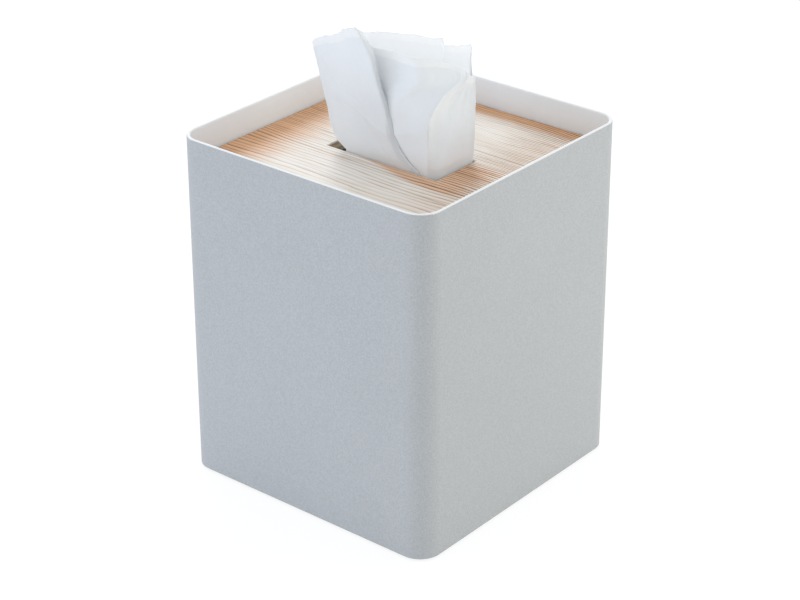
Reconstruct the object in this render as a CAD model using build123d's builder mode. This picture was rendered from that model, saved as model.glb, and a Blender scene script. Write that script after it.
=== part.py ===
from build123d import *
import os

os.makedirs("parts", exist_ok=True)

# Tissue box: a square case of folded, powder-coated steel with a lid of veneered plywood
# lying recessed in it, and a tissue standing gathered in the lid's slot.
# Millimetres. The origin is on the floor, under the middle of the case, and +Z is up.

# Case: one steel sheet folded into a square tube
case_width = 130.0
case_depth = 130.0
case_height = 155.0  # floor to rim
corner_radius = 10.0
steel_wall = 1.6
rim_round = 0.6
floor_gap = 1.0  # under the case's lower edge
seam_clearance = 0.1  # between the case and the tray pressed into it

# Base: a shallow tray spot-welded inside the foot of the case
base_thickness = 1.2
base_flange_height = 9.0
foot_height = 1.6
foot_size = 12.0
foot_inset = 19.0  # foot's middle to the case's outer faces

# Lid: plywood, resting on four bent ledges
lid_recess = 12.0  # rim to lid
lid_thickness = 5.0
lid_gap = 0.6  # all round, between lid and case
lid_edge_bevel = 0.3
slot_length = 58.0
slot_width = 26.0
rest_width = 24.0
rest_thickness = 1.2
rest_leg_height = 13.0
rest_ledge_depth = 8.0
rest_bend_radius = 2.0

# Folded stack
stack_clearance = 9.4  # to the case, all round
stack_headroom = 21.2  # to the lid
stack_folds = 12  # folds on each side
fold_groove = 0.8

# Drawn tissue
tissue_thickness = 0.5  # two plies standing loosely together
tissue_rise = 49.0  # from the lid to the level part of the hem
tail_inset = 3.0  # from the stack's sides
tail_thickness = 1.2
tail_fold_share = 0.45  # the rounding of the tail's folded edge, as a share of its thickness
tail_height_clearance = 1.0  # under the lid, where the tissue starts to spread

# One overrun for every cut
overrun = 5.0

# Levels worked out from the sizes above
base_floor = foot_height + base_thickness
lid_top = case_height - lid_recess
lid_underside = lid_top - lid_thickness
stack_top = lid_underside - stack_headroom
inner_width = case_width - 2 * steel_wall
inner_depth = case_depth - 2 * steel_wall
inner_radius = corner_radius - steel_wall


# Case, open at the rim and at the foot
with BuildPart() as case_sleeve:
    with BuildSketch(Plane.XY.offset(floor_gap)):
        RectangleRounded(case_width, case_depth, corner_radius)
        RectangleRounded(inner_width, inner_depth, inner_radius, mode=Mode.SUBTRACT)
    extrude(amount=case_height - floor_gap)
    fillet(case_sleeve.faces().sort_by(Axis.Z)[-1].edges(), radius=rim_round)

case_sleeve.part.label = "case_sleeve"
export_step(case_sleeve.part, "parts/case_sleeve.step")


# Base tray, with its flange turned up against the case
tray_width = inner_width - 2 * seam_clearance
tray_depth = inner_depth - 2 * seam_clearance
tray_radius = inner_radius - seam_clearance

with BuildPart() as base_plate:
    with BuildSketch(Plane.XY.offset(foot_height)):
        RectangleRounded(tray_width, tray_depth, tray_radius)
    extrude(amount=base_flange_height)
    with BuildSketch(Plane.XY.offset(base_floor)):
        RectangleRounded(
            tray_width - 2 * base_thickness,
            tray_depth - 2 * base_thickness,
            tray_radius - base_thickness,
        )
    extrude(amount=base_flange_height, mode=Mode.SUBTRACT)
    chamfer(base_plate.faces().sort_by(Axis.Z)[0].edges(), length=base_thickness / 2)

base_plate.part.label = "base_plate"
export_step(base_plate.part, "parts/base_plate.step")


# Feet: four thin square pads stuck under the tray
foot_places = {
    "foot_front_left": (-1, -1),
    "foot_front_right": (1, -1),
    "foot_back_right": (1, 1),
    "foot_back_left": (-1, 1),
}
for foot_name, (side_x, side_y) in foot_places.items():
    foot_plane = Plane(
        (side_x * (case_width / 2 - foot_inset), side_y * (case_depth / 2 - foot_inset), 0)
    )
    with BuildPart() as foot:
        with BuildSketch(foot_plane):
            Rectangle(foot_size, foot_size)
        extrude(amount=foot_height)
    foot.part.label = foot_name
    export_step(foot.part, f"parts/{foot_name}.step")


# Lid rests: bent strips, one leg welded to the middle of each wall and one under the lid.
# Each profile is drawn in a plane square to its wall, x out to the wall and y up.
rest_walls = {
    "lid_rest_right": (inner_width / 2, (1, 0, 0), (0, -1, 0)),
    "lid_rest_back": (inner_depth / 2, (0, 1, 0), (1, 0, 0)),
    "lid_rest_left": (inner_width / 2, (-1, 0, 0), (0, 1, 0)),
    "lid_rest_front": (inner_depth / 2, (0, -1, 0), (-1, 0, 0)),
}
for rest_name, (wall_distance, outward, along) in rest_walls.items():
    rest_plane = Plane(origin=(0, 0, lid_underside), x_dir=outward, z_dir=along)
    with BuildPart() as lid_rest:
        with BuildSketch(rest_plane):
            with BuildLine():
                FilletPolyline(
                    (wall_distance - rest_ledge_depth, 0),
                    (wall_distance, 0),
                    (wall_distance, -rest_leg_height),
                    radius=rest_bend_radius,
                )
                offset(amount=rest_thickness, side=Side.RIGHT, closed=True)
            make_face()
        extrude(amount=rest_width / 2, both=True)
    lid_rest.part.label = rest_name
    export_step(lid_rest.part, f"parts/{rest_name}.step")


# Lid: a square board with rounded corners and one slot across its middle
with BuildPart() as lid_panel:
    with BuildSketch(Plane.XY.offset(lid_underside)):
        RectangleRounded(inner_width - 2 * lid_gap, inner_depth - 2 * lid_gap, inner_radius - lid_gap)
        Rectangle(slot_length, slot_width, mode=Mode.SUBTRACT)
    extrude(amount=lid_thickness)
    chamfer(lid_panel.faces().sort_by(Axis.Z)[-1].edges(), length=lid_edge_bevel)

lid_panel.part.label = "lid_panel"
export_step(lid_panel.part, "parts/lid_panel.step")


# Stack: a block of folded tissues, with grooves between the folds on its left and right sides
stack_width = inner_width - 2 * stack_clearance
stack_depth = inner_depth - 2 * stack_clearance
stack_height = stack_top - base_floor
fold_pitch = stack_height / stack_folds
groove_places = [
    (side * stack_width / 2, base_floor + fold * fold_pitch)
    for side in (-1, 1)
    for fold in range(1, stack_folds)
]

with BuildPart() as tissue_stack:
    with BuildSketch(Plane.XZ.offset(-stack_depth / 2)):
        with Locations((0, base_floor + stack_height / 2)):
            Rectangle(stack_width, stack_height)
        with Locations(groove_places):
            RegularPolygon(radius=fold_groove, side_count=4, mode=Mode.SUBTRACT)
    extrude(amount=stack_depth)

tissue_stack.part.label = "tissue_stack"
export_step(tissue_stack.part, "parts/tissue_stack.step")


# Drawn tissue. Seen from above, it runs from its edge hidden in front, along the slot's front,
# round the two right-hand corners, back along the slot with a small pleat, round the left side
# and across the front again as a flap, whose last stretch rolls back behind it.
# Each point is a share of the slot's half length and half width.
foot_plan_shares = [
    (-0.414, -0.662), (0.276, -0.785), (0.814, -0.938), (0.945, -0.723),
    (0.969, 0.908), (0.503, 0.831), (0.403, 0.938), (-0.138, 0.862),
    (-0.672, 0.815), (-0.672, -0.938), (0, -0.923), (0.517, -0.962),
    (0.669, -0.954),
]
low_plan_shares = [
    (-0.448, -0.692), (0.259, -0.862), (0.834, -0.992), (0.959, -0.677),
    (0.986, 0.908), (0.5, 0.823), (0.4, 0.954), (-0.172, 0.877),
    (-0.741, 0.769), (-0.834, -0.962), (0.034, -0.977), (0.331, -1.077),
    (0.476, -1.038),
]
waist_plan_shares = [
    (-0.462, -0.708), (0.269, -0.931), (0.841, -0.992), (0.938, -0.462),
    (1, 0.892), (0.497, 0.815), (0.397, 0.962), (-0.207, 0.885),
    (-0.828, 0.692), (-0.931, -0.977), (-0.138, -0.962), (0.159, -1.177),
    (0.269, -1.077),
]
middle_plan_shares = [
    (-0.483, -0.723), (0.276, -0.969), (0.838, -0.946), (0.91, -0.154),
    (1.014, 0.877), (0.493, 0.808), (0.393, 0.969), (-0.241, 0.892),
    (-0.897, 0.562), (-1, -0.985), (-0.345, -0.954), (0.193, -1.277),
    (0.152, -1.046),
]
hollow_plan_shares = [
    (-0.5, -0.7), (0.31, -0.977), (0.855, -0.885), (0.876, 0),
    (1.028, 0.869), (0.49, 0.808), (0.39, 0.977), (-0.276, 0.877),
    (-0.948, 0.4), (-1.09, -0.985), (-0.724, -0.977), (0.134, -1.308),
    (0.059, -1.031),
]
ridge_plan_shares = [
    (-0.517, -0.662), (0.483, -0.908), (0.907, -0.292), (0.931, 0.346),
    (1.034, 0.862), (0.49, 0.808), (0.386, 0.985), (-0.31, 0.862),
    (-0.983, 0.254), (-1.166, -0.985), (-0.966, -1.008), (0.076, -1.338),
    (-0.007, -1.046),
]
shoulder_plan_shares = [
    (-0.534, -0.646), (0.638, -0.754), (0.972, 0.385), (1.014, 0.646),
    (1.034, 0.877), (0.49, 0.815), (0.386, 0.992), (-0.31, 0.854),
    (-0.966, 0.192), (-1.207, -0.992), (-1.017, -1.038), (0.041, -1.346),
    (-0.041, -1.054),
]
hem_plan_shares = [
    (-0.552, -0.615), (0.534, -0.754), (0.834, 0.246), (0.91, 0.585),
    (0.979, 0.892), (0.483, 0.823), (0.379, 0.992), (-0.31, 0.838),
    (-0.897, 0.108), (-1.29, -1.015), (-1.069, -1.069), (-0.045, -1.354),
    (-0.128, -1.062),
]
top_plan_shares = [
    (-0.552, -0.6), (0.397, -0.738), (0.707, 0.346), (0.793, 0.654),
    (0.914, 0.923), (0.466, 0.846), (0.362, 1.008), (-0.379, 0.8),
    (-0.897, 0), (-1.379, -1.031), (-1.172, -1.092), (-0.283, -1.369),
    (-0.366, -1.069),
]

# Fold radii at the eleven inner points, as shares of the slot's half width; 0 is a sharp fold
fold_shares = [0.50, 0.05, 0.20, 0, 0, 0, 0.50, 0.20, 0, 0.50, 0.10]
soft_ridge_fold_shares = [0.50, 0.35, 0.20, 0, 0, 0, 0.50, 0.20, 0, 0.50, 0.10]
soft_ridge_share = 0.78  # of the rise: above this the front right fold has softened

# Each drawn section's height as a share of the tissue's rise above the lid, and its plan
level_shares = [
    (0.01, foot_plan_shares),
    (0.08, low_plan_shares),
    (0.19, waist_plan_shares),
    (0.37, middle_plan_shares),
    (0.54, hollow_plan_shares),
    (0.69, ridge_plan_shares),
    (0.78, shoulder_plan_shares),
    (0.97, hem_plan_shares),
    (1.18, top_plan_shares),
]
rise_bands = 16  # bands that the gathered tissue is lofted in
tail_spread_share = 1.25  # how much wider the gathered tissue is where it meets its tail
tail_seat_share = 0.5  # how deep the gathered tissue stands in its tail


def plan_at(rise_share):
    """The plan at any height, on smooth curves through the drawn plans."""
    last = len(level_shares) - 1
    below = max(i for i in range(last) if level_shares[i][0] <= rise_share or i == 0)
    levels = [level_shares[min(max(below + step, 0), last)] for step in (-1, 0, 1, 2)]
    heights = [level[0] for level in levels]
    span = heights[2] - heights[1]
    t = (rise_share - heights[1]) / span
    plan = []
    for before, start, end, after in zip(*(level[1] for level in levels)):
        point = []
        for axis in (0, 1):
            start_slope = (end[axis] - before[axis]) / (heights[2] - heights[0]) * span
            end_slope = (after[axis] - start[axis]) / (heights[3] - heights[1]) * span
            point.append(
                (2 * t**3 - 3 * t**2 + 1) * start[axis]
                + (t**3 - 2 * t**2 + t) * start_slope
                + (3 * t**2 - 2 * t**3) * end[axis]
                + (t**3 - t**2) * end_slope
            )
        plan.append(tuple(point))
    return plan


def one_face_of_sheet(line_points, turn_radii, shift):
    """The line of one face of the sheet: the drawn points moved sideways, with mitred corners."""
    steps = [(end - start).normalized() for start, end in zip(line_points, line_points[1:])]
    face_points = [line_points[0] + steps[0].rotate(Axis.Z, 90) * shift]
    face_radii = []
    for point, before, after, radius in zip(line_points[1:], steps, steps[1:], turn_radii):
        across = (before + after).normalized().rotate(Axis.Z, 90)
        face_points.append(point + across * (shift / across.dot(before.rotate(Axis.Z, 90))))
        left_turn = 1 if before.cross(after).Z > 0 else -1
        face_radii.append(radius - left_turn * shift if radius else 0)
    face_points.append(line_points[-1] + steps[-1].rotate(Axis.Z, 90) * shift)
    return FilletPolyline(face_points, radius=face_radii)


def gathered_section(height, plan_shares, turn_shares=fold_shares, spread=1.0):
    """One level section through the gathered tissue: its line given the tissue's thickness."""
    half_length = spread * slot_length / 2
    half_width = spread * slot_width / 2
    line_points = [Vector(x * half_length, y * half_width) for x, y in plan_shares]
    turn_radii = [share * half_width for share in turn_shares]
    with BuildSketch(Plane.XY.offset(height)) as section:
        with BuildLine():
            left_face = one_face_of_sheet(line_points, turn_radii, tissue_thickness / 2)
            right_face = one_face_of_sheet(line_points, turn_radii, -tissue_thickness / 2)
            Line(left_face @ 0, right_face @ 0)
            Line(left_face @ 1, right_face @ 1)
        make_face()
    return section.sketch


lid_entry = lid_underside - tail_height_clearance
foot_share = level_shares[0][0]
top_share = level_shares[-1][0]

gathered_sections = [
    gathered_section(
        stack_top + tail_seat_share * tail_thickness, foot_plan_shares, spread=tail_spread_share
    ),
    gathered_section(lid_entry, foot_plan_shares),
]
for band in range(rise_bands + 1):
    rise_share = foot_share + (top_share - foot_share) * band / rise_bands
    turn_shares = fold_shares if rise_share < soft_ridge_share else soft_ridge_fold_shares
    gathered_sections.append(
        gathered_section(lid_top + rise_share * tissue_rise, plan_at(rise_share), turn_shares)
    )

# The hem isn't level: each stretch is a line of points across the tissue, seen from the front,
# as shares of the slot's half length and of the tissue's rise.
flap_hem_shares = [
    (-1.6, 0.78), (-1.27, 0.90), (-1.05, 0.978), (-0.79, 1.034), (-0.66, 1.077), (-0.58, 1.127),
    (-0.47, 1.15), (-0.31, 1.172), (-0.20, 1.15), (0.2, 1.12),
]
front_hem_shares = [
    (-1.6, 0.80), (-1.20, 0.85), (-0.95, 0.90), (-0.80, 0.93), (-0.50, 0.965), (-0.15, 0.975),
    (0.23, 0.965), (0.45, 0.972), (0.68, 0.955), (0.84, 0.89), (1.03, 0.765), (1.2, 0.70),
]
back_hem_shares = [
    (-1.2, 0.93), (-0.47, 0.965), (-0.16, 0.955), (0.10, 0.99), (0.28, 0.975), (0.40, 1.00),
    (0.49, 0.965), (0.72, 0.985), (0.95, 1.033),
]
back_drop_shares = [(0.91, 0.77), (1.2, 0.75)]  # the back stretch ends in an upright edge
flap_plane_share = -0.967  # of the slot's half width: between the flap and what is behind it
back_plane_share = 0.77  # between the front stretch and the back one
reach_share = 3.0  # how far the trimming reaches, in half widths
hem_ceiling = lid_top + top_share * tissue_rise + overrun


def hem_cut(near_share, far_share, hem_shares, drop_shares=()):
    """What lies above one stretch of hem, between two planes square to the slot's width."""
    half_width = slot_width / 2
    hem_points, drop_points = (
        [(x * slot_length / 2, lid_top + z * tissue_rise) for x, z in shares]
        for shares in (hem_shares, drop_shares)
    )
    end_x = (drop_points or hem_points)[-1][0]
    with BuildPart(mode=Mode.PRIVATE) as above:
        with BuildSketch(Plane.XZ.offset(-far_share * half_width)):
            with BuildLine():
                Spline(*hem_points)
                Polyline(
                    hem_points[-1],
                    *drop_points,
                    (end_x, hem_ceiling),
                    (hem_points[0][0], hem_ceiling),
                    hem_points[0],
                )
            make_face()
        extrude(amount=(far_share - near_share) * half_width)
    return above.part


hem_cuts = [
    hem_cut(-reach_share, flap_plane_share, flap_hem_shares),
    hem_cut(flap_plane_share, back_plane_share, front_hem_shares),
    hem_cut(back_plane_share, reach_share, back_hem_shares, back_drop_shares),
]

with BuildPart() as pulled_tissue:
    # folded tail lying on the stack, with its fold at the left
    with BuildSketch(Plane.XY.offset(stack_top)):
        Rectangle(stack_width - 2 * tail_inset, stack_depth - 2 * tail_inset)
    extrude(amount=tail_thickness)
    fold_edges = pulled_tissue.edges().filter_by(Axis.Y).group_by(Axis.X)[0]
    fillet(fold_edges, radius=tail_fold_share * tail_thickness)
    loft(sections=gathered_sections, ruled=True)
    for cut in hem_cuts:
        add(cut, mode=Mode.SUBTRACT)

pulled_tissue.part.label = "pulled_tissue"
export_step(pulled_tissue.part, "parts/pulled_tissue.step")
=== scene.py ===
import math
import bmesh
import bpy
from mathutils import Matrix, Vector, noise


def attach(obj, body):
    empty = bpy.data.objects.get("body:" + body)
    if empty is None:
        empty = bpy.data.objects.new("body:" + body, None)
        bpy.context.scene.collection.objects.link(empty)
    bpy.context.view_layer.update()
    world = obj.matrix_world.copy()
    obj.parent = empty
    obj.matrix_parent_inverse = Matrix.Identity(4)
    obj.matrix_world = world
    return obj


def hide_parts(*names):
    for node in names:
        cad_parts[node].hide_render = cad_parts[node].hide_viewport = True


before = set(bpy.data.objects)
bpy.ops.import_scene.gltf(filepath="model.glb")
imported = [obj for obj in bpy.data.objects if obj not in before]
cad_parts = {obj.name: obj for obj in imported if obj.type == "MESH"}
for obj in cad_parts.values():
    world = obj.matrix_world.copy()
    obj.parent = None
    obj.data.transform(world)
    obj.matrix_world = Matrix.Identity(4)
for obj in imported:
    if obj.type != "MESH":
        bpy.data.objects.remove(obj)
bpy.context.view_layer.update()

mm = 0.001


class Wire:
    # one node socket. Sums on it add Math nodes to its tree
    def __init__(self, bench, socket):
        self.bench = bench
        self.socket = socket

    def maths(self, operation, *others, first=None):
        values = [self, *others] if first is None else [first, self]
        return self.bench.node("ShaderNodeMath", {"operation": operation}, dict(enumerate(values)))

    def __add__(self, other):
        return self.maths("ADD", other)

    def __mul__(self, other):
        return self.maths("MULTIPLY", other)

    def __sub__(self, other):
        return self.maths("SUBTRACT", other)

    def __truediv__(self, other):
        return self.maths("DIVIDE", other)

    def __pow__(self, other):
        return self.maths("POWER", other)

    def __rsub__(self, other):
        return self.maths("SUBTRACT", first=other)

    __radd__ = __add__


class Bench:
    # a node tree under construction
    def __init__(self, tree):
        self.tree = tree

    def node(self, kind, settings=None, inputs=None, output=0):
        made = self.tree.nodes.new(kind)
        for key, value in (settings or {}).items():
            if key == "stops":
                ramp = made.color_ramp
                while len(ramp.elements) < len(value):
                    ramp.elements.new(1.0)
                for element, (place, colour) in zip(ramp.elements, value):
                    element.position = place
                    element.color = colour
            elif key == "steps":
                made.color_ramp.interpolation = value
            else:
                setattr(made, key, value)
        for key, value in (inputs or {}).items():
            if isinstance(value, Wire):
                self.tree.links.new(value.socket, made.inputs[key])
            else:
                made.inputs[key].default_value = value
        return Wire(self, made.outputs[output]) if made.outputs else None


class Finish(Bench):
    # a material under construction
    def __init__(self, name):
        self.material = bpy.data.materials.new(name)
        self.material.use_nodes = True
        self.material.node_tree.nodes.clear()
        super().__init__(self.material.node_tree)

    def place(self, scale=(1000, 1000, 1000), source="Object"):
        # by default Object coordinates, in millimetres
        seat = self.node("ShaderNodeTexCoord", output=source)
        return self.node("ShaderNodeMapping", {}, {"Vector": seat, "Scale": scale})

    def axis(self, vector, letter):
        return self.node("ShaderNodeSeparateXYZ", {}, {0: vector}, output=letter)

    def noise(self, vector, size, detail=2.0, roughness=0.5):
        inputs = {"Vector": vector, "Scale": 1 / size, "Detail": detail, "Roughness": roughness}
        return self.node("ShaderNodeTexNoise", {}, inputs)

    def spread(self, value, low, high, outLow=0.0, outHigh=1.0):
        inputs = {"Value": value, 1: low, 2: high, 3: outLow, 4: outHigh}
        return self.node("ShaderNodeMapRange", {"interpolation_type": "SMOOTHSTEP"}, inputs)

    def tint(self, factor, colourA, colourB, blend="MIX"):
        settings = {"data_type": "RGBA", "blend_type": blend}
        return self.node("ShaderNodeMix", settings, {0: factor, 6: colourA, 7: colourB}, output=2)

    def bump(self, height, depth, under=None):
        inputs = {"Height": height, "Distance": depth}
        if under is not None:
            inputs["Normal"] = under
        return self.node("ShaderNodeBump", {}, inputs)

    def surface(self, sockets):
        shader = self.node("ShaderNodeBsdfPrincipled", {}, sockets)
        self.node("ShaderNodeOutputMaterial", {}, {"Surface": shader})
        return self.material


def shade(grey):
    return (grey, grey, grey, 1)


# Camera, where the photographer stood
view = {
    "place": (0.5650, -0.6851, 0.5228), "azimuth": 39.55, "elevation": 26.76, "roll": -0.13,
    "focalPixels": 2337, "framePixels": 800, "sensor": 36, "nearest": 0.01,
}


def setCamera():
    azimuth, elevation, roll = (math.radians(view[key]) for key in ("azimuth", "elevation", "roll"))
    level = Vector((math.cos(azimuth), math.sin(azimuth), 0))
    away = math.cos(elevation)
    back = Vector((math.sin(azimuth) * away, -math.cos(azimuth) * away, math.sin(elevation)))
    upright = back.cross(level)
    right = level * math.cos(roll) + upright * math.sin(roll)
    up = upright * math.cos(roll) - level * math.sin(roll)
    data = bpy.data.cameras.new("photoCamera")
    data.sensor_width = view["sensor"]
    data.lens = view["focalPixels"] / view["framePixels"] * view["sensor"]
    data.clip_start = view["nearest"]
    camera = bpy.data.objects.new("photoCamera", data)
    camera.matrix_world = Matrix((
        (right.x, up.x, back.x, view["place"][0]),
        (right.y, up.y, back.y, view["place"][1]),
        (right.z, up.z, back.z, view["place"][2]),
        (0, 0, 0, 1),
    ))
    bpy.context.scene.collection.objects.link(camera)
    bpy.context.scene.camera = camera


# Light: an even pale room, a soft lamp behind, and weak fills far to the left and right, so that
# the rounded edge between the two faces seen stands out a little darker. Two small lamps on the
# floor lift the lower part of those faces
lamps = {
    "key": {
        "place": (-0.92, 0.80, 0.95), "aim": (0, 0, 0.1),
        "size": 0.60, "watts": 5.0, "colour": (1.0, 0.995, 0.98),
    },
    "left": {
        "place": (-0.80, -0.85, 0.25), "aim": (0, 0, 0.08),
        "size": 0.70, "watts": 2.1, "colour": (0.55, 0.68, 1.0),
    },
    "right": {
        "place": (0.85, 0.80, 0.25), "aim": (0, 0, 0.08),
        "size": 0.70, "watts": 2.4, "colour": (0.98, 1.0, 0.93),
    },
    "lowFront": {
        "place": (0.0, -0.36, 0.0), "aim": (0.03, 0, 0.0),
        "size": 0.24, "watts": 0.22, "colour": (0.75, 0.88, 1.0),
    },
    "lowRight": {
        "place": (0.45, 0.20, 0.0), "aim": (0, 0, 0.03),
        "size": 0.26, "watts": 0.46, "colour": (1.0, 1.0, 0.86),
    },
}
room = {"colour": (0.955, 0.985, 1.0, 1), "strength": 0.815}


def setLight():
    for name, lamp in lamps.items():
        data = bpy.data.lights.new(name + "Lamp", "AREA")
        data.shape = "DISK"
        data.size = lamp["size"]
        data.energy = lamp["watts"]
        data.color = lamp["colour"]
        light = bpy.data.objects.new(name + "Lamp", data)
        light.visible_camera = False
        aim = Vector(lamp["aim"]) - Vector(lamp["place"])
        turn = aim.to_track_quat("-Z", "Y").to_matrix().to_4x4()
        light.matrix_world = Matrix.Translation(lamp["place"]) @ turn
        bpy.context.scene.collection.objects.link(light)
    world = bpy.data.worlds.new("paleRoom")
    world.use_nodes = True
    world.node_tree.nodes.clear()
    bpy.context.scene.world = world
    bench = Bench(world.node_tree)
    seen = seenStraight(bench)
    light = bench.node("ShaderNodeBackground", {}, {"Color": room["colour"], "Strength": room["strength"]})
    white = bench.node("ShaderNodeBackground", {}, {"Color": shade(1), "Strength": 1.0})
    mixed = bench.node("ShaderNodeMixShader", {}, {0: seen, 1: light, 2: white})
    bench.node("ShaderNodeOutputWorld", {}, {"Surface": mixed})


def seenStraight(bench):
    # 1 for what the camera sees, also by way of gloss or glass
    camera = bench.node("ShaderNodeLightPath", output="Is Camera Ray")
    glossy = bench.node("ShaderNodeLightPath", output="Is Glossy Ray")
    through = bench.node("ShaderNodeLightPath", output="Is Transmission Ray")
    return camera.maths("MAXIMUM", glossy).maths("MAXIMUM", through)


floor = {"side": 8.0, "paint": 0.80, "glow": 0.84, "keptShadow": 0.22}


def layFloor():
    # the camera sees it glow nearly white with a faint shadow, the rest of the light meets plain paint
    mesh = bpy.data.meshes.new("floor")
    half = floor["side"] / 2
    corners = [(-half, -half, 0), (half, -half, 0), (half, half, 0), (-half, half, 0)]
    mesh.from_pydata(corners, [], [(0, 1, 2, 3)])
    ground = bpy.data.objects.new("floor", mesh)
    bpy.context.scene.collection.objects.link(ground)
    finish = Finish("paleFloor")
    paint = finish.node("ShaderNodeBsdfDiffuse", {}, {"Color": shade(floor["paint"])})
    faint = finish.node("ShaderNodeBsdfDiffuse", {}, {"Color": shade(floor["keptShadow"])})
    glow = finish.node("ShaderNodeEmission", {}, {"Color": shade(1), "Strength": floor["glow"]})
    lit = finish.node("ShaderNodeAddShader", {}, {0: faint, 1: glow})
    mixed = finish.node("ShaderNodeMixShader", {}, {0: seenStraight(finish), 1: paint, 2: lit})
    finish.node("ShaderNodeOutputMaterial", {}, {"Surface": mixed})
    mesh.materials.append(finish.material)


setCamera()
setLight()
layFloor()
print("camera, light and floor are set")


# Powder coat on the sleeve, tray and ledges: grey outside; painted light makes it whiter inside the case, and
# a painted highlight whitens its rim.
# Grain, ripple and patch are sizes in millimetres, the depths are in metres
coat = {
    "low": (0.445, 0.454, 0.464, 1), "high": (0.541, 0.553, 0.563, 1),
    # painted light: the whiter inside and the painted highlight on the rim
    "inside": (0.92, 0.95, 0.975, 1), "rim": (0.93, 0.93, 0.93, 1),
    "grain": 0.60, "ripple": 2.6, "patch": 45, "patchShare": 0.08,
    "grainDepth": 0.00007, "rippleDepth": 0.00010, "inward": (-30, -10), "upward": (0.35, 0.75),
    "roughness": 0.46, "grainRoughness": 0.12, "specular": 0.45,
}


def powderCoat():
    finish = Finish("powderCoat")
    where = finish.place()
    grain = finish.noise(where, coat["grain"], 2.5, 0.6)
    ripple = finish.noise(where, coat["ripple"], 1.0)
    patch = finish.noise(where, coat["patch"], 2.0)
    shadeOf = finish.spread(grain, 0.30, 0.70) * (1 - coat["patchShare"])
    shadeOf = shadeOf + finish.spread(patch, 0.35, 0.65) * coat["patchShare"]
    # painted light: the inner faces, which look towards the middle of the case, are painted whiter, and the
    # rim, which looks up, gets a painted highlight
    facing = finish.node("ShaderNodeTexCoord", output="Normal")
    level = finish.node("ShaderNodeVectorMath", {"operation": "MULTIPLY"}, {0: where, 1: (1, 1, 0)})
    outward = finish.node(
        "ShaderNodeVectorMath", {"operation": "DOT_PRODUCT"}, {0: level, 1: facing}, output="Value",
    )
    rim = finish.spread(finish.axis(facing, "Z"), *coat["upward"])
    colour = finish.tint(shadeOf, coat["low"], coat["high"])
    colour = finish.tint(finish.spread(outward, *coat["inward"], 1.0, 0.0), colour, coat["inside"])
    return finish.surface({
        "Base Color": finish.tint(rim, colour, coat["rim"]),
        "Roughness": coat["roughness"] + finish.spread(grain, 0.3, 0.7) * coat["grainRoughness"],
        "Normal": finish.bump(grain, coat["grainDepth"], finish.bump(ripple, coat["rippleDepth"])),
        "Specular IOR Level": coat["specular"],
    })


# Ash veneer on plywood, grain along X. Places in millimetres, the depth in metres
ash = {
    "pale": (0.93, 0.905, 0.875, 1), "warm": (0.84, 0.745, 0.640, 1),
    "line": (0.31, 0.160, 0.075, 1), "pore": (0.17, 0.085, 0.04, 1),
    "plies": [
        (0.0, (0.80, 0.70, 0.52, 1)), (0.11, (0.60, 0.47, 0.30, 1)), (0.36, (0.80, 0.68, 0.48, 1)),
        (0.63, (0.62, 0.49, 0.32, 1)), (0.86, (0.92, 0.86, 0.74, 1)),
    ],
    "under": 138.0, "thickness": 5.0, "drift": 8, "waver": 1.5,
    "ringRate": 0.55, "ringChange": 0.2, "changeAt": -13, "changeSoft": 60,
    "sharp": 4.5, "soft": 1.8, "softShare": 0.15, "leastStrength": 0.5,
    "faintOver": (2, 20), "faintest": 0.85, "brokenTo": 0.55,
    # painted shade: the real grain lines are darkened in the shaded zones and on the right
    "lines": 0.8, "shadeZoneLines": 0.9, "rightShadeLines": 2.3, "rightAcross": (15, 45), "rightAlong": (-30, -12),
    "streakShare": 0.55, "most": 0.95, "fibreShare": 0.55, "fibreHeight": 0.3, "edgeLines": 0.25,
    "upward": (0.45, 0.75),
    "depth": 0.00006, "roughness": 0.50, "lineRoughness": 0.16, "fibreRoughness": 0.06, "specular": 0.6,
}
# noise in the grain, as cells to the metre along it, across it and up
grains = {
    "drift": (14, 34, 34), "waver": (55, 240, 240), "breaks": (24, 620, 620), "streaks": (17, 900, 900),
    "pores": (80, 3400, 3400), "fibre": (26, 1500, 1500), "wash": (20, 60, 60),
}
# painted shade, amber where the walls and the tissue keep the light off the lid: from where to where each
# zone fades, in millimetres, and its share
paintedShade = {
    "colour": (0.90, 0.56, 0.33, 1), "wobble": 16, "backWobble": 0.2,
    "left": (-56, -31), "back": (50, 59), "right": (20, 50), "rightShare": 0.22,
    "slotFront": -13.0, "slotFade": 2.0, "reach": 8.5, "reachOver": (-16, 30),
    "besideBack": (5, 14), "besideLeft": (-22, -8), "besideRight": (37, 54), "besideShare": 0.80,
}


def grainNoise(finish, kind, detail=2.0, roughness=0.5):
    return finish.noise(finish.place(grains[kind]), 1.0, detail, roughness)


# painted shade: the mask of where the walls and the tissue shadow the lid
def paintedShadeZones(finish, x, y):
    wobble = (grainNoise(finish, "breaks") - 0.5) * paintedShade["wobble"]
    left = finish.spread(x + wobble, *paintedShade["left"], 1.0, 0.0)
    back = finish.spread(y + wobble * paintedShade["backWobble"], *paintedShade["back"])
    right = finish.spread(x, *paintedShade["right"], 0.0, paintedShade["rightShare"])
    # beside the tissue its painted shadow starts at the slot's front, and goes up to the reach before it on
    # the right
    reach = finish.spread(x, *paintedShade["reachOver"], 0.0, paintedShade["reach"])
    beside = finish.spread(reach + y - paintedShade["slotFront"], -paintedShade["slotFade"], paintedShade["slotFade"])
    beside = beside * finish.spread(y, *paintedShade["besideBack"], 1.0, 0.0)
    beside = beside * finish.spread(x, *paintedShade["besideLeft"])
    beside = beside * finish.spread(x + wobble, *paintedShade["besideRight"], 1.0, 0.0)
    walls = left.maths("MAXIMUM", back)
    return walls.maths("MAXIMUM", beside * paintedShade["besideShare"]).maths("MAXIMUM", right)


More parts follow.
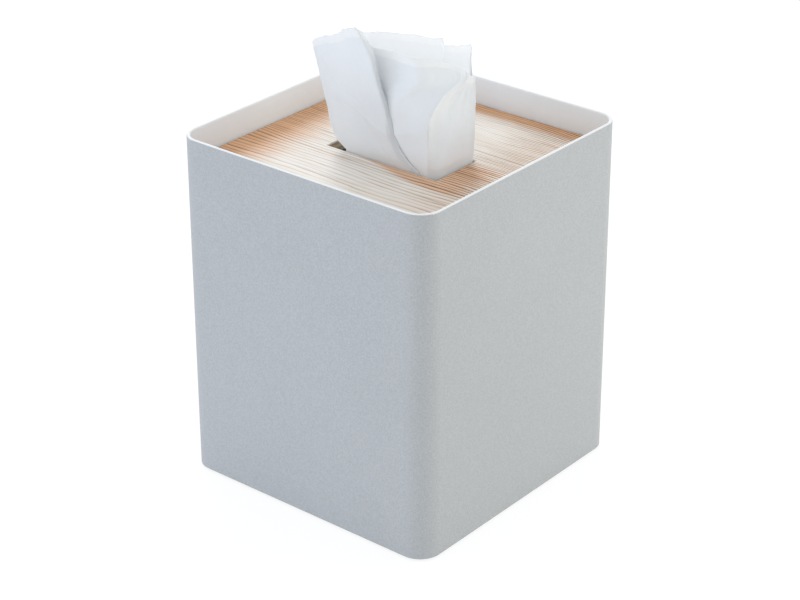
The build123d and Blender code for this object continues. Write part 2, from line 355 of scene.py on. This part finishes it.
def ashVeneer():
    finish = Finish("ashVeneer")
    where = finish.place()
    x, y, z = (finish.axis(where, letter) for letter in "XYZ")
    drift = grainNoise(finish, "drift", 1.5) - 0.5
    waver = grainNoise(finish, "waver") - 0.5
    bent = y + drift * ash["drift"] + waver * ash["waver"]
    # rings stand about 3 mm apart in front and close up, ever fainter, towards the back
    past = bent - ash["changeAt"]
    rings = bent * ash["ringRate"] + (past * past + ash["changeSoft"]).maths("SQRT") * ash["ringChange"]
    ring = rings.maths("FRACT")
    number = rings.maths("FLOOR")
    strength = finish.node("ShaderNodeTexWhiteNoise", {"noise_dimensions": "1D"}, {"W": number})
    strength = strength * (1 - ash["leastStrength"]) + ash["leastStrength"]
    broken = finish.spread(grainNoise(finish, "breaks"), 0.34, 0.62, ash["brokenTo"], 1.0)
    faint = finish.spread(bent, *ash["faintOver"], 1.0, ash["faintest"])
    # each ring starts with a dark line of late wood; painted shade makes these lines darker in the amber
    # zones and on the right
    late = (1 - ring) ** ash["sharp"] * (1 - ash["softShare"]) + (1 - ring) ** ash["soft"] * ash["softShare"]
    late = late * strength * broken * faint
    shadeZones = paintedShadeZones(finish, x, y)
    shadedRight = finish.spread(x, *ash["rightAcross"]) * finish.spread(bent, *ash["rightAlong"])
    late = late * (shadeZones * ash["shadeZoneLines"] + shadedRight * ash["rightShadeLines"] + ash["lines"])
    streaks = finish.spread(grainNoise(finish, "streaks", 2.0, 0.6), 0.54, 0.74)
    pores = finish.spread(grainNoise(finish, "pores", 2.0, 0.6), 0.46, 0.70)
    openPores = pores * late.maths("MINIMUM", 1.0)
    fibre = grainNoise(finish, "fibre", 3.0, 0.6)
    wash = finish.spread(grainNoise(finish, "wash", 1.0), 0.3, 0.7)
    warmth = wash * (1 - ash["fibreShare"]) + finish.spread(fibre, 0.25, 0.75) * ash["fibreShare"]
    body = finish.tint(warmth, ash["pale"], ash["warm"])
    lines = late.maths("MAXIMUM", streaks * ash["streakShare"]).maths("MINIMUM", ash["most"])
    face = finish.tint(openPores, finish.tint(lines, body, ash["line"]), ash["pore"])
    # painted shade: the lid turns amber where the walls and the tissue shadow it
    face = finish.tint(shadeZones, face, paintedShade["colour"], "MULTIPLY")
    # the edges show the plies
    height = (z - ash["under"]) / ash["thickness"]
    plies = finish.node("ShaderNodeValToRGB", {"steps": "CONSTANT", "stops": ash["plies"]}, {0: height})
    edge = finish.tint(fibre * ash["edgeLines"], plies, ash["line"])
    facing = finish.axis(finish.node("ShaderNodeTexCoord", output="Normal"), "Z")
    flat = finish.spread(facing.maths("ABSOLUTE"), *ash["upward"])
    return finish.surface({
        "Base Color": finish.tint(flat, edge, face),
        "Roughness": ash["roughness"] + late * ash["lineRoughness"] + fibre * ash["fibreRoughness"],
        "Normal": finish.bump(openPores * -1 + fibre * ash["fibreHeight"], ash["depth"]),
        "Specular IOR Level": ash["specular"],
    })


# Two-ply tissue, its sheet coordinates over 200 mm each way. Sizes in millimetres, depths in metres
paper = {
    # painted highlight: the paler white along the hem and the folds, which also colours the light through the
    # paper
    "white": (0.870, 0.895, 0.925, 1), "hem": (0.950, 0.965, 0.98, 1),
    "shade": (0.80, 0.82, 0.84, 1), "packShade": (0.78, 0.80, 0.82, 1),
    "side": 200, "crepe": (0.9, 3.4, 1), "fibre": 0.45, "cloud": 9.0, "packFibre": 0.5, "packCloud": 12.0,
    "crepeDepth": 0.00005, "cloudDepth": 0.00035, "packFibreDepth": 0.00006, "packCloudDepth": 0.0003,
    "fibreShade": 0.12, "cloudShade": 0.10, "packShading": 0.2,
    "roughness": 0.88, "fibreRoughness": 0.1, "specular": 0.2,
    "through": 0.40, "throughDepth": 0.0006, "clear": 0.70,
}


def tissuePaper():
    finish = Finish("tissuePaper")
    where = finish.place((paper["side"], paper["side"], 1), source="UV")
    stretched = finish.node("ShaderNodeMapping", {}, {"Vector": where, "Scale": paper["crepe"]})
    crepe = finish.noise(stretched, 1.0, 2.5, 0.6)
    fibre = finish.noise(where, paper["fibre"], 3.0, 0.65)
    cloud = finish.noise(where, paper["cloud"], 2.0)
    # painted highlight: paler along the hem and the folds
    hem = finish.node("ShaderNodeAttribute", {"attribute_name": "hem"}, output="Fac")
    shaded = finish.spread(fibre, 0.3, 0.75) * paper["fibreShade"]
    shaded = shaded + finish.spread(cloud, 0.35, 0.65) * paper["cloudShade"]
    tone = finish.tint(shaded, paper["white"], paper["shade"])
    relief = finish.bump(crepe, paper["crepeDepth"], finish.bump(cloud, paper["cloudDepth"]))
    matt = finish.node("ShaderNodeBsdfPrincipled", {}, {
        "Base Color": finish.tint(hem, tone, paper["hem"]),
        "Roughness": paper["roughness"] + fibre * paper["fibreRoughness"],
        "Normal": relief,
        "Specular IOR Level": paper["specular"],
        "Subsurface Weight": paper["through"],
        "Subsurface Radius": (1.0, 1.0, 1.0),
        "Subsurface Scale": paper["throughDepth"],
    })
    # light comes through where the tissue stands single
    single = finish.node("ShaderNodeAttribute", {"attribute_name": "single"}, output="Fac")
    through = finish.node("ShaderNodeBsdfTranslucent", {}, {"Color": paper["hem"], "Normal": relief})
    mixed = finish.node("ShaderNodeMixShader", {}, {0: single * paper["clear"], 1: matt, 2: through})
    finish.node("ShaderNodeOutputMaterial", {}, {"Surface": mixed})
    return finish.material


def foldedPaper():
    finish = Finish("foldedPaper")
    where = finish.place()
    fibre = finish.noise(where, paper["packFibre"], 3.0, 0.65)
    cloud = finish.noise(where, paper["packCloud"], 2.0)
    shaded = finish.spread(fibre, 0.3, 0.7) * paper["packShading"]
    shaded = shaded + finish.spread(cloud, 0.3, 0.7) * paper["packShading"]
    clouded = finish.bump(cloud, paper["packCloudDepth"])
    return finish.surface({
        "Base Color": finish.tint(shaded, paper["white"], paper["packShade"]),
        "Roughness": paper["roughness"] + fibre * paper["fibreRoughness"],
        "Normal": finish.bump(fibre, paper["packFibreDepth"], clouded),
        "Specular IOR Level": paper["specular"],
    })


# Rubber of the four pads under the tray
pad = {
    "low": (0.030, 0.030, 0.032, 1), "high": (0.065, 0.065, 0.066, 1), "grain": 0.35, "depth": 0.00008,
    "roughness": 0.70, "grainRoughness": 0.2,
}


def padRubber():
    finish = Finish("padRubber")
    grain = finish.noise(finish.place(), pad["grain"], 3.0, 0.7)
    return finish.surface({
        "Base Color": finish.tint(grain, pad["low"], pad["high"]),
        "Roughness": pad["roughness"] + grain * pad["grainRoughness"],
        "Normal": finish.bump(grain, pad["depth"]),
    })


def dress(node, material):
    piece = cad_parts[node]
    for seat in piece.material_slots:
        seat.material = material
    if not piece.material_slots:
        piece.data.materials.append(material)


steel = powderCoat()
dress("case_sleeve", steel)
dress("base_plate", steel)
for side in ("front", "right", "back", "left"):
    dress("lid_rest_" + side, steel)
dress("lid_panel", ashVeneer())
rubber = padRubber()
for corner in ("front_left", "front_right", "back_right", "back_left"):
    dress("foot_" + corner, rubber)
print("steel, lid and pads are finished")


# The pack: flat folded tissues lying on each other, in metres
pack = {
    "width": 0.108, "depth": 0.108, "bottom": 0.0028, "height": 0.114, "folds": 57,
    "paper": 0.00034, "apart": 1.15, "foldSteps": 4, "wobble": 0.00035, "seed": 4,
}


def packTree():
    tree = bpy.data.node_groups.new("foldedPack", "GeometryNodeTree")
    tree.interface.new_socket("Geometry", in_out="OUTPUT", socket_type="NodeSocketGeometry")
    for name, kind in (
        ("Width", "Float"), ("Depth", "Float"), ("Height", "Float"), ("Folds", "Int"),
        ("Paper", "Float"), ("Wobble", "Float"), ("Seed", "Int"), ("Finish", "Material"),
    ):
        tree.interface.new_socket(name, in_out="INPUT", socket_type="NodeSocket" + kind)
    bench = Bench(tree)
    sockets = tree.nodes.new("NodeGroupInput").outputs
    given = {socket.name: Wire(bench, socket) for socket in sockets if socket.name}
    pitch = given["Height"] / given["Folds"]
    loop = bench.node("GeometryNodeCurvePrimitiveQuadrilateral", {}, {
        "Width": given["Width"], "Height": pitch - given["Paper"] * pack["apart"],
    })
    loop = bench.node("GeometryNodeFilletCurve", {"mode": "POLY"}, {
        "Curve": loop, "Radius": pitch * 0.5, "Limit Radius": True, "Count": pack["foldSteps"],
    })
    strip = bench.node("GeometryNodeCurvePrimitiveQuadrilateral", {}, {
        "Width": given["Paper"], "Height": given["Depth"],
    })
    folded = bench.node("GeometryNodeCurveToMesh", {}, {"Curve": loop, "Profile Curve": strip})
    folded = bench.node("GeometryNodeTransform", {}, {"Geometry": folded, "Rotation": (math.pi / 2, 0, 0)})
    rise = bench.node("ShaderNodeCombineXYZ", {}, {"Z": pitch})
    start = bench.node("ShaderNodeCombineXYZ", {}, {"Z": pitch * 0.5})
    places = bench.node("GeometryNodeMeshLine", {}, {
        "Count": given["Folds"], "Start Location": start, "Offset": rise,
    })
    reach = bench.node("ShaderNodeCombineXYZ", {}, {"X": given["Wobble"], "Y": given["Wobble"]})
    back = bench.node("ShaderNodeVectorMath", {"operation": "SCALE"}, {"Vector": reach, "Scale": -1.0})
    slip = bench.node("FunctionNodeRandomValue", {"data_type": "FLOAT_VECTOR"}, {
        "Min": back, "Max": reach, "Seed": given["Seed"],
    })
    places = bench.node("GeometryNodeSetPosition", {}, {"Geometry": places, "Offset": slip})
    laid = bench.node("GeometryNodeInstanceOnPoints", {}, {"Points": places, "Instance": folded})
    laid = bench.node("GeometryNodeRealizeInstances", {}, {"Geometry": laid})
    laid = bench.node("GeometryNodeSetMaterial", {}, {"Geometry": laid, "Material": given["Finish"]})
    tree.nodes.new("NodeGroupOutput")
    tree.links.new(laid.socket, tree.nodes["Group Output"].inputs[0])
    return tree


def bakedPiece(name, tree, values):
    host = bpy.data.objects.new(name + "Host", bpy.data.meshes.new(name + "Host"))
    bpy.context.scene.collection.objects.link(host)
    modifier = host.modifiers.new(name, "NODES")
    modifier.node_group = tree
    for item in tree.interface.items_tree:
        if item.in_out == "INPUT":
            modifier[item.identifier] = values[item.name]
    graph = bpy.context.evaluated_depsgraph_get()
    mesh = bpy.data.meshes.new_from_object(host.evaluated_get(graph))
    mesh.name = name
    bpy.data.objects.remove(host)
    piece = bpy.data.objects.new(name, mesh)
    bpy.context.scene.collection.objects.link(piece)
    return piece


foldedPack = bakedPiece("foldedPack", packTree(), {
    "Width": pack["width"], "Depth": pack["depth"], "Height": pack["height"], "Folds": pack["folds"],
    "Paper": pack["paper"], "Wobble": pack["wobble"], "Seed": pack["seed"], "Finish": foldedPaper(),
})
foldedPack.data.transform(Matrix.Translation((0, 0, pack["bottom"])))
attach(foldedPack, "root")
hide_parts("tissue_stack")
print("pack of folded tissues:", len(foldedPack.data.polygons), "faces")


# The drawn tissue, in millimetres apart from its flat size. A share is a height over the lid in
# parts of the rise, and a station is a place along the sheet, counted in the corners of its plan
tissue = {
    "lidTop": 143.0, "rise": 49.0, "lidEntry": 137.0, "seat": 119.4, "spread": 0.25, "spreadOver": 19.6,
    "footShare": 0.01, "topShare": 1.19, "levels": 260, "lengthLevel": 120, "stationShare": 0.9,
    "step": 0.85, "stepShare": 0.6, "cornerSteps": 6, "rows": 104, "thickness": 0.22, "flatSide": 0.200,
    "leastTurn": 0.3, "mostCut": 0.45, "softRadius": 4.5, "softFrom": 0.66, "softTo": 0.80,
    "wrinkle": 0.46, "narrowShare": 0.35, "crinkle": 0.13, "flutter": 0.3, "ragged": 0.18,
    "stillBelow": 144.5, "freeAbove": 158.0, "flutterFrom": 0.86,
    "hemWidth": 3.0, "hemFade": 1.2, "rowPitch": 0.62,
}
# Its tail, two layers over the pack: the upper in rows out from the slot, the lower in squares with
# a fold at its left edge
tail = {
    "centre": (3, 0), "half": 51.0, "rows": 22, "closeUp": 1.6, "top": 117.95, "slope": 0.40,
    "slopeOver": (3, 10), "bend": 0.9, "lift": 0.12, "liftOver": (1, 6),
    "bottom": 117.0, "uneven": 0.05, "count": 44, "pitch": 2.2, "depthAt": 100,
    "edge": 1.2, "turnSteps": 5, "turnWide": 0.5, "turnOut": 0.2, "turnHigh": 0.53,
}
# Noise in the sheet: size along it, size up it or across it, and where in the noise it is taken
waves = {
    "wide": (8.5, 30, 1.7), "narrow": (3.6, 13, 5.3), "fine": (1.5, 2.6, 9.1), "flutter": (5.0, 1, 2.2),
    "ragged": (1 / 0.35, 1, 7.7), "tailTop": (16, 16, 0.5), "tailBottom": (14, 14, 8.5),
}
# Seen from above it runs from its edge hidden in front, along the slot's front, round the right
# end, back with a small pleat, round the left end and over the front as a flap whose last stretch
# rolls under. One row of corners for each share
plans = {
    0.01: [(-12, -8.6), (8, -10.2), (23.6, -12.2), (27.4, -9.4), (28.1, 11.8), (28.0, 11.8), (14.6, 10.8),
           (11.7, 12.2), (-4, 11.2), (-19.5, 10.6), (-19.5, -12.2), (0, -12.0), (15, -12.4), (19.4, -12.1)],
    0.08: [(-13, -9), (7.5, -11.2), (24.2, -12.9), (27.8, -8.8), (28.6, 11.8), (28.4, 11.8), (14.5, 10.7),
           (11.6, 12.4), (-5, 11.4), (-21.5, 10), (-24.2, -12.5), (1, -12.7), (10.2, -13.3), (14.4, -12.4)],
    0.19: [(-13.4, -9.2), (7.8, -12.1), (24.4, -12.9), (27.2, -6.0), (29.0, 11.6), (28.8, 11.6), (14.4, 10.6),
           (11.5, 12.5), (-6, 11.5), (-24, 9), (-27.0, -12.7), (-4, -12.5), (6.6, -13.8), (9.6, -12.65)],
    0.37: [(-14, -9.4), (8, -12.6), (24.3, -12.3), (26.4, -2), (29.4, 11.4), (29.0, 11.4), (14.3, 10.5),
           (11.4, 12.6), (-7, 11.6), (-26, 7.3), (-29.0, -12.8), (-10, -12.4), (5.2, -14.4), (6.2, -12.65)],
    0.54: [(-14.5, -9.1), (9, -12.7), (24.8, -11.5), (25.4, 0), (29.8, 11.3), (29.0, 11.3), (14.2, 10.5),
           (11.3, 12.7), (-8, 11.4), (-27.5, 5.2), (-31.6, -12.8), (-21, -12.7), (3.9, -15.4), (3.0, -12.3)],
    0.69: [(-15, -8.6), (14, -11.8), (26.3, -3.8), (27, 4.5), (30, 11.2), (28.0, 11.2), (14.2, 10.5),
           (11.2, 12.8), (-9, 11.2), (-28.5, 3.3), (-33.8, -12.8), (-28, -13.1), (2.2, -16.4), (0.4, -12.8)],
    0.78: [(-15.5, -8.4), (18.5, -9.8), (28.2, 5), (29.4, 8.4), (30, 11.4), (26.5, 11.4), (14.2, 10.6),
           (11.2, 12.9), (-9, 11.1), (-28, 2.5), (-35, -12.9), (-29.5, -13.5), (1.2, -16.9), (-1.0, -12.9)],
    0.97: [(-16, -8), (15.5, -9.8), (24.2, 3.2), (26.4, 7.6), (28.4, 11.6), (27.2, 11.6), (14, 10.7),
           (11, 12.9), (-9, 10.9), (-26, 1.4), (-37.4, -13.2), (-31, -13.9), (-1.3, -17.6), (-3.7, -13.2)],
    1.18: [(-16, -7.8), (11.5, -9.6), (20.5, 4.5), (23, 8.5), (28.6, 12), (28.0, 12), (13.5, 11),
           (10.5, 13.1), (-11, 10.4), (-26, 0), (-40, -13.4), (-34, -14.2), (-8.2, -17.8), (-10.6, -13.9)],
}
# radii of the corners between the two ends. The second, in front on the right, grows softer higher up
foldRadii = [6.5, 0.4, 5.0, 0.9, 0.2, 0.35, 0.35, 6.5, 2.6, 0.45, 5.0, 1.4]
# the hem's share at each station
hemHeights = [
    (0, 0.958), (0.5, 0.968), (1, 0.968), (1.4, 0.962), (1.7, 0.935), (2, 0.868), (2.5, 0.815), (3, 0.787),
    (4, 0.765), (4.9, 0.762), (5.03, 1.030), (5.3, 1.008), (5.6, 0.985), (6, 0.966), (6.5, 0.985), (7, 1.000),
    (7.25, 0.975), (7.6, 0.975), (8, 0.958), (8.3, 0.965), (9, 0.945), (9.6, 0.92), (10, 0.90), (10.6, 0.945),
    (11, 0.975), (11.16, 1.005), (11.41, 1.052), (11.5, 1.078), (11.64, 1.127), (11.8, 1.15), (12, 1.175),
    (12.4, 1.15), (13, 1.12),
]


def eased(low, high, value):
    t = min(max((value - low) / (high - low), 0), 1)
    return t * t * (3 - 2 * t)


def waveAt(kind, along, up):
    sizeAlong, sizeUp, taken = waves[kind]
    return noise.noise(Vector((along / sizeAlong, up / sizeUp, taken)))


def planAt(share):
    # smooth curves up the sheet through the corners given
    heights = sorted(plans)
    last = len(heights) - 1
    below = max([0] + [i for i in range(last) if heights[i] <= share])
    picked = [min(max(below + step, 0), last) for step in (-1, 0, 1, 2)]
    h = [heights[i] for i in picked]
    span = h[2] - h[1]
    t = min(max((share - h[1]) / span, 0), 1)
    line = []
    for before, start, end, after in zip(*(plans[heights[i]] for i in picked)):
        place = []
        for axis in (0, 1):
            slopeIn = (end[axis] - before[axis]) / (h[2] - h[0]) * span
            slopeOut = (after[axis] - start[axis]) / (h[3] - h[1]) * span
            place.append(
                (2 * t**3 - 3 * t**2 + 1) * start[axis] + (t**3 - 2 * t**2 + t) * slopeIn
                + (3 * t**2 - 2 * t**3) * end[axis] + (t**3 - t**2) * slopeOut
            )
        line.append(Vector(place))
    return line


def hemAt(station):
    for (low, start), (high, end) in zip(hemHeights, hemHeights[1:]):
        if station <= high:
            return start + (end - start) * eased(low, high, station)
    return hemHeights[-1][1]


def stepsAlong():
    # how many steps each stretch gets, the same at every height
    line = planAt(tissue["stepShare"])
    return [max(2, round((end - start).length / tissue["step"])) for start, end in zip(line, line[1:])]


def roundedLine(share, steps):
    # the line of the sheet at one height, with rounded folds, and each place's station
    corners = planAt(share)
    radii = list(foldRadii)
    radii[1] += (tissue["softRadius"] - radii[1]) * eased(tissue["softFrom"], tissue["softTo"], share)
    spans = [end - start for start, end in zip(corners, corners[1:])]
    cuts = [0.0]
    for before, after, radius in zip(spans, spans[1:], radii):
        turn = before.angle(after, 0.0) if before.length > 1e-6 and after.length > 1e-6 else 0.0
        cut = max(math.tan(turn / 2), tissue["leastTurn"]) * radius
        cuts.append(min(cut, tissue["mostCut"] * before.length, tissue["mostCut"] * after.length))
    cuts.append(0.0)
    places, stations = [], []
    for i, span in enumerate(spans):
        way = span.normalized()
        start = corners[i] + way * cuts[i]
        end = corners[i + 1] - way * cuts[i + 1]
        size = max(span.length, 1e-6)
        for step in range(steps[i] + 1):
            t = step / steps[i]
            places.append(start.lerp(end, t))
            stations.append(i + (cuts[i] + (size - cuts[i] - cuts[i + 1]) * t) / size)
        if i + 1 < len(spans):
            nextWay = spans[i + 1].normalized()
            out = corners[i + 1] + nextWay * cuts[i + 1]
            nextSize = max(spans[i + 1].length, 1e-6)
            first, final = stations[-1], i + 1 + cuts[i + 1] / nextSize
            for step in range(1, tissue["cornerSteps"]):
                t = step / tissue["cornerSteps"]
                places.append(end.lerp(corners[i + 1], t).lerp(corners[i + 1].lerp(out, t), t))
                stations.append(first + (final - first) * t)
    return places, stations


def sheetPlaces():
    # the standing sheet in rows from its seat to its hem, with each column's station and length
    steps = stepsAlong()
    stations = roundedLine(tissue["stationShare"], steps)[1]
    levels = tissue["levels"]
    sections = [roundedLine(tissue["topShare"] * k / levels, steps)[0] for k in range(levels + 1)]
    columns = len(stations)
    travelled = [0.0]
    measured = sections[tissue["lengthLevel"]]
    for start, end in zip(measured, measured[1:]):
        travelled.append(travelled[-1] + (end - start).length)
    footLine = roundedLine(tissue["footShare"], steps)[0]
    rows = []
    for row in range(tissue["rows"] + 1):
        t = row / tissue["rows"]
        line = []
        for column in range(columns):
            ragged = waveAt("ragged", travelled[column], 3.1) * tissue["ragged"]
            top = tissue["lidTop"] + hemAt(stations[column]) * tissue["rise"] + ragged
            z = tissue["seat"] + (top - tissue["seat"]) * t
            share = (z - tissue["lidTop"]) / tissue["rise"]
            if share <= tissue["footShare"]:
                under = (tissue["lidEntry"] - z) / tissue["spreadOver"]
                place = footLine[column] * (1 + tissue["spread"] * eased(0, 1, under))
            else:
                level = min(share / tissue["topShare"] * levels, levels - 0.001)
                low = int(level)
                place = sections[low][column].lerp(sections[low + 1][column], level - low)
            line.append(Vector((place.x, place.y, z)))
        rows.append(line)
    return rows, stations, travelled


# soft folds across the sheet: both ends in x and z, the stations they run over, their width and
# height. They fade before and past their ends, in parts of their length
creases = [
    (Vector((-23, 167.6)), Vector((5, 156.8)), (9.9, 12), 8.0, 1.3),
    (Vector((-31, 183)), Vector((-22, 166)), (9.9, 12), 5.0, 0.7),
    (Vector((-15.5, 197)), Vector((-2, 161)), (9.9, 12), 3.5, 0.35),
    (Vector((4, 156.5)), Vector((26, 163.5)), (0, 2), 7.0, 0.8),
    (Vector((6, 176)), Vector((13, 160)), (0, 2), 5.0, 0.5),
]
creaseFade = {"start": (-0.15, 0.1), "end": (0.9, 1.15)}


def creaseOut(station, place):
    out = 0.0
    for start, end, (first, last), width, height in creases:
        if first <= station <= last:
            way = end - start
            seat = Vector((place.x, place.z)) - start
            along = seat.dot(way) / way.length_squared
            off = min((seat - way * along).length / width, 1)
            begun, ended = (eased(*creaseFade[key], along) for key in ("start", "end"))
            out += height * (1 - off) ** 2 * begun * (1 - ended)
    return out


def wrinkled(rows, stations, travelled):
    # soft upright creases, a fine crinkle and a hem that flutters
    columns = len(travelled)
    shifts = []
    for row, line in enumerate(rows):
        shift = []
        for column, place in enumerate(line):
            s, z = travelled[column], place.z
            free = eased(tissue["stillBelow"], tissue["freeAbove"], z)
            nearHem = eased(tissue["flutterFrom"], 1.0, row / (len(rows) - 1))
            soft = waveAt("wide", s, z) * tissue["wrinkle"]
            soft += waveAt("narrow", s, z) * tissue["wrinkle"] * tissue["narrowShare"]
            fine = waveAt("fine", s, z) * tissue["crinkle"]
            wave = waveAt("flutter", s, 0.4) * tissue["flutter"] * nearHem
            before, after = line[max(column - 1, 0)], line[min(column + 1, columns - 1)]
            way = Vector((after.x - before.x, after.y - before.y, 0))
            out = Vector((way.y, -way.x, 0)).normalized() if way.length > 1e-6 else Vector((0, 0, 0))
            shift.append(out * ((soft + fine + wave) * free + creaseOut(stations[column], place)))
        shifts.append(shift)
    return [[place + move for place, move in zip(line, shift)] for line, shift in zip(rows, shifts)]


def skirtRows(seatLine, stations):
    # under the lid the tissue opens out over the stack, to the square of its folded tail
    centre = Vector(tail["centre"])
    half = tail["half"]
    lines = []
    for row in range(1, tail["rows"] + 1):
        t = (row / tail["rows"]) ** tail["closeUp"]
        line = []
        for column, place in enumerate(seatLine):
            way = (Vector((place.x, place.y)) - centre).normalized()
            reach = min(
                ((half if way.x > 0 else -half) - place.x) / way.x if abs(way.x) > 1e-4 else 1e9,
                ((half if way.y > 0 else -half) - place.y) / way.y if abs(way.y) > 1e-4 else 1e9,
            )
            out = reach * t
            rest = tail["top"] + tail["slope"] * eased(*tail["slopeOver"], stations[column])
            x, y = place.x + way.x * out, place.y + way.y * out
            lift = waveAt("tailTop", x, y) * tail["lift"] * eased(*tail["liftOver"], out)
            z = rest + (place.z - rest) * math.exp(-out / tail["bend"]) + lift
            line.append(Vector((x, y, z)))
        lines.append(line)
    return lines


def tailLayer():
    # the lower layer of the tail, turned up in a fold at its left
    half, count = tail["half"], tail["count"]
    start = -half + tail["edge"]
    xs = [start + (2 * half - tail["edge"]) * k / count for k in range(count + 1)]
    lines = []
    for j in range(count + 1):
        y = -half + 2 * half * j / count
        line = []
        for k in range(tail["turnSteps"], 0, -1):
            turn = math.pi * k / (tail["turnSteps"] + 1)
            x = start - math.sin(turn) * tail["turnWide"] - tail["turnOut"]
            line.append(Vector((x, y, tail["bottom"] + tail["turnHigh"] * (1 - math.cos(turn)))))
        for x in xs:
            line.append(Vector((x, y, tail["bottom"] + tail["uneven"] * (1 + waveAt("tailBottom", x, y)))))
        lines.append(line)
    return lines


# painted highlights: pale lines along the flap's left fold, its free edge and the two folds at the right, by
# station
pale = {"folds": (2, 4, 10, 13), "from": 0.02, "to": 0.09}
# where the tissue stands single, by station, and in part where it rolls. It starts some rows up
thin = {
    "begins": (3.6, 4.4), "ends": (9.2, 9.9), "rolls": (12.0, 12.3), "rolledShare": 0.3, "rowsUp": (8, 40),
}


def foldHighlightAt(station):
    return max(1 - eased(pale["from"], pale["to"], abs(station - fold)) for fold in pale["folds"])


def singleAt(station):
    standing = eased(*thin["begins"], station) * (1 - eased(*thin["ends"], station))
    return max(standing, thin["rolledShare"] * eased(*thin["rolls"], station))


def drapedMesh():
    rows, stations, travelled = sheetPlaces()
    skirt = skirtRows(rows[0], stations)
    rows = list(reversed(skirt)) + wrinkled(rows, stations, travelled)
    mesh = bmesh.new()
    hem = mesh.verts.layers.float.new("hem")
    single = mesh.verts.layers.float.new("single")
    uv = mesh.loops.layers.uv.new("sheet")

    def weave(lines, alongs, downs, highlightAt, singles):
        grid = []
        for r, line in enumerate(lines):
            made = []
            for c, place in enumerate(line):
                vertex = mesh.verts.new(place * mm)
                vertex[hem] = highlightAt(r, c)
                vertex[single] = singles(r, c)
                made.append(vertex)
            grid.append(made)
        for r in range(len(lines) - 1):
            for c in range(len(lines[0]) - 1):
                spots = ((r, c), (r, c + 1), (r + 1, c + 1), (r + 1, c))
                face = mesh.faces.new([grid[a][b] for a, b in spots])
                face.smooth = True
                for loop, (a, b) in zip(face.loops, spots):
                    loop[uv].uv = (alongs[b] / paper["side"], downs[a] / paper["side"])

    depths = [0.0]
    for start, end in zip(rows, rows[1:]):
        middle = len(start) // 2
        depths.append(depths[-1] + (end[middle] - start[middle]).length)
    hemRows = tissue["hemWidth"] / tissue["rowPitch"]
    total = len(rows) - 1
    thinFrom, thinTo = (len(skirt) + count for count in thin["rowsUp"])
    # painted highlight along the top hem and the folds
    weave(
        rows, travelled, depths,
        lambda r, c: max(1 - eased(hemRows - tissue["hemFade"], hemRows, total - r), foldHighlightAt(stations[c])),
        lambda r, c: singleAt(stations[c]) * eased(thinFrom, thinTo, r),
    )
    layer = tailLayer()
    alongs = [k * tail["pitch"] for k in range(len(layer[0]))]
    downs = [tail["depthAt"] + k * tail["pitch"] for k in range(len(layer))]
    weave(layer, alongs, downs, lambda r, c: 0.0, lambda r, c: 0.0)
    mesh.normal_update()
    data = bpy.data.meshes.new("gatheredTissue")
    mesh.to_mesh(data)
    mesh.free()
    return data


gatheredTissue = bpy.data.objects.new("gatheredTissue", drapedMesh())
bpy.context.scene.collection.objects.link(gatheredTissue)
solid = gatheredTissue.modifiers.new("plies", "SOLIDIFY")
solid.thickness = tissue["thickness"] * mm
solid.offset = 0
graph = bpy.context.evaluated_depsgraph_get()
finished = bpy.data.meshes.new_from_object(gatheredTissue.evaluated_get(graph))
gatheredTissue.modifiers.clear()
gatheredTissue.data = finished
finished.name = "gatheredTissue"
finished.materials.clear()
finished.materials.append(tissuePaper())
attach(gatheredTissue, "root")
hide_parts("pulled_tissue")
print("gathered tissue:", len(finished.polygons), "faces")

bpy.context.scene.view_settings.view_transform = "Standard"
